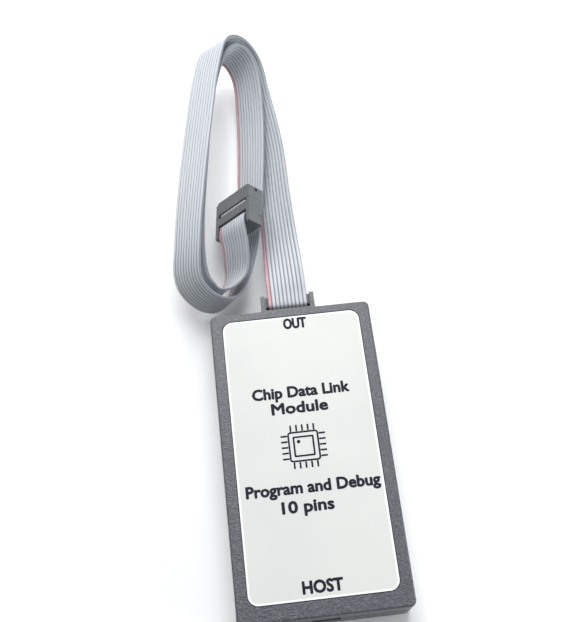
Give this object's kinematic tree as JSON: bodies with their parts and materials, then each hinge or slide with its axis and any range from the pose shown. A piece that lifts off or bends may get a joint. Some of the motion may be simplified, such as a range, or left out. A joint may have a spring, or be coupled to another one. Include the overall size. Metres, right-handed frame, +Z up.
{
  "type": "usb microcontroller programmer",
  "caption": "Flat grey programmer box with a label set in its lid, a USB socket at one end and a looped flat ribbon cable with a box plug at the other.",
  "frame": {"origin": "centre of the box's underside", "axes": "+Z up through the lid, +Y from the USB end to the ribbon cable end, +X to the right"},
  "size_m": [0.0616, 0.2028, 0.0294],
  "materials": {
    "case_plastic": "fine spark texture, grey",
    "label_print": "printed polyester film, off-white",
    "screw_steel": "zinc plated",
    "board_laminate": "green solder mask on glass laminate",
    "header_plastic": "moulded, black",
    "pin_gold": "gold flash",
    "usb_steel": "tin plated sheet",
    "usb_insert_plastic": "moulded, black",
    "chip_epoxy": "moulded epoxy with tinned leads",
    "crystal_steel": "drawn can",
    "ceramic_tan": "fired, with tinned ends",
    "resistor_ceramic": "black glaze, tinned ends",
    "tantalum_epoxy": "moulded, amber",
    "plug_plastic": "moulded, grey",
    "ribbon_pvc": "extruded grey PVC, one edge wire red"
  },
  "bodies": {
    "box": {"bottom_shell": "case_plastic", "top_shell": "case_plastic", "top_label": "label_print", "case_screw_1": "screw_steel", "case_screw_2": "screw_steel", "case_screw_3": "screw_steel", "case_screw_4": "screw_steel", "circuit_board": "board_laminate", "io_header_shroud": "header_plastic", "header_pin_1": "pin_gold", "header_pin_2": "pin_gold", "header_pin_3": "pin_gold", "header_pin_4": "pin_gold", "header_pin_5": "pin_gold", "header_pin_6": "pin_gold", "header_pin_7": "pin_gold", "header_pin_8": "pin_gold", "header_pin_9": "pin_gold", "header_pin_10": "pin_gold", "usb_socket_shell": "usb_steel", "usb_socket_insert": "usb_insert_plastic", "controller_chip": "chip_epoxy", "memory_chip": "chip_epoxy", "regulator": "chip_epoxy", "crystal_can": "crystal_steel", "ceramic_capacitor_1": "ceramic_tan", "chip_resistor_1": "resistor_ceramic", "ceramic_capacitor_2": "ceramic_tan", "chip_resistor_2": "resistor_ceramic", "ceramic_capacitor_3": "ceramic_tan", "chip_resistor_3": "resistor_ceramic", "ceramic_capacitor_4": "ceramic_tan", "chip_resistor_4": "resistor_ceramic", "tantalum_capacitor_1": "tantalum_epoxy", "tantalum_capacitor_2": "tantalum_epoxy"},
    "cable": {"plug_body": "plug_plastic", "plug_cover": "plug_plastic", "plug_strain_relief": "plug_plastic", "free_body": "plug_plastic", "free_cover": "plug_plastic", "free_strain_relief": "plug_plastic", "ribbon_cable": "ribbon_pvc"}
  },
  "joints": [
    {"name": "cable_unplug", "type": "slide", "parent": "box", "child": "cable", "axis": [0, 1, 0], "range_m": [0, 0.012]}
  ]
}
